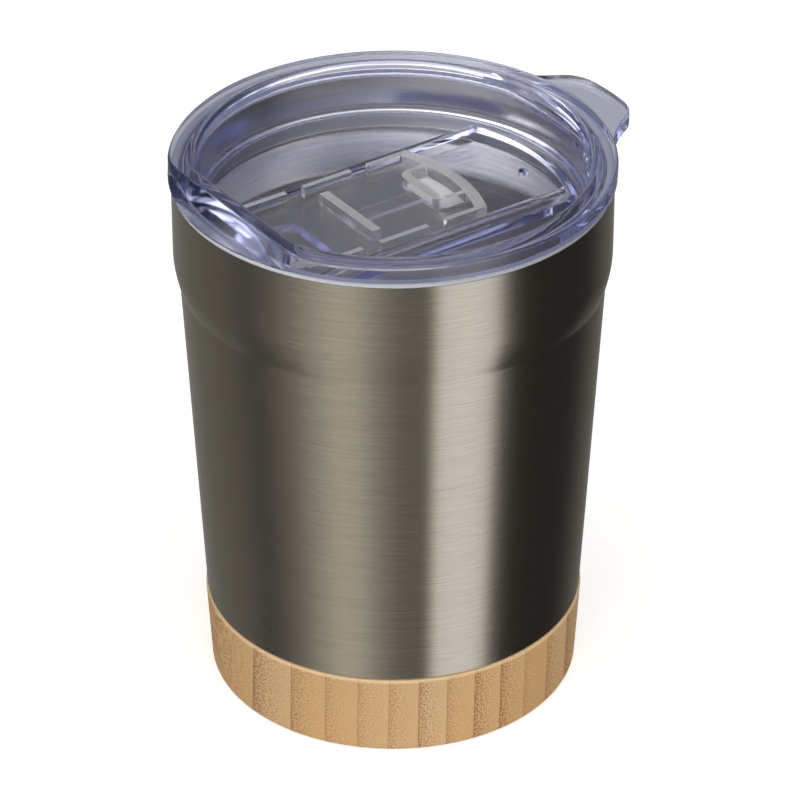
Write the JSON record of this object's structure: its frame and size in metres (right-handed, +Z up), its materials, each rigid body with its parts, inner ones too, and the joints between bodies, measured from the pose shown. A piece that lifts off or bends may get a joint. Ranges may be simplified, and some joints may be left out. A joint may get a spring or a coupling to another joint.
{
  "type": "steel tumbler",
  "caption": "Double wall steel tumbler on a laminated bamboo base, with a clear lid that lifts off and a slider that opens the sip hole.",
  "frame": {"origin": "centre of the base's flat resting face", "axes": "+Z up along the cup's axis, +X towards the lid's pull tab, the spout at -X"},
  "size_m": [0.0945, 0.0856, 0.1133],
  "materials": {
    "brushed_steel": "brushed round the body",
    "polished_steel": "polished lip, satin inside",
    "plain_steel": "plain sheet",
    "solder": "dull metal bead",
    "getter_alloy": "sintered pellet",
    "adhesive": "cured film",
    "bamboo": "sanded and oiled",
    "clear_lid": "clear moulded plastic",
    "silicone": "translucent silicone",
    "clear_slider": "clear moulded plastic"
  },
  "bodies": {
    "cup": {"outer_shell": "brushed_steel", "inner_liner": "polished_steel", "outer_bottom": "plain_steel", "port_seal": "solder", "getter": "getter_alloy", "base_adhesive": "adhesive", "base_strip_01": "bamboo", "base_strip_02": "bamboo", "base_strip_03": "bamboo", "base_strip_04": "bamboo", "base_strip_05": "bamboo", "base_strip_06": "bamboo", "base_strip_07": "bamboo", "base_strip_08": "bamboo", "base_strip_09": "bamboo", "base_strip_10": "bamboo", "base_strip_11": "bamboo", "base_strip_12": "bamboo", "base_strip_13": "bamboo", "base_strip_14": "bamboo"},
    "lid": {"lid_body": "clear_lid", "lid_seal": "silicone"},
    "slider": {"slider": "clear_slider"}
  },
  "joints": [
    {"name": "lid_lift", "type": "slide", "parent": "cup", "child": "lid", "axis": [0, 0, 1], "range_m": [0, 0.08]},
    {"name": "slider_slide", "type": "slide", "parent": "lid", "child": "slider", "axis": [1, 0, 0], "range_m": [0, 0.018]}
  ]
}
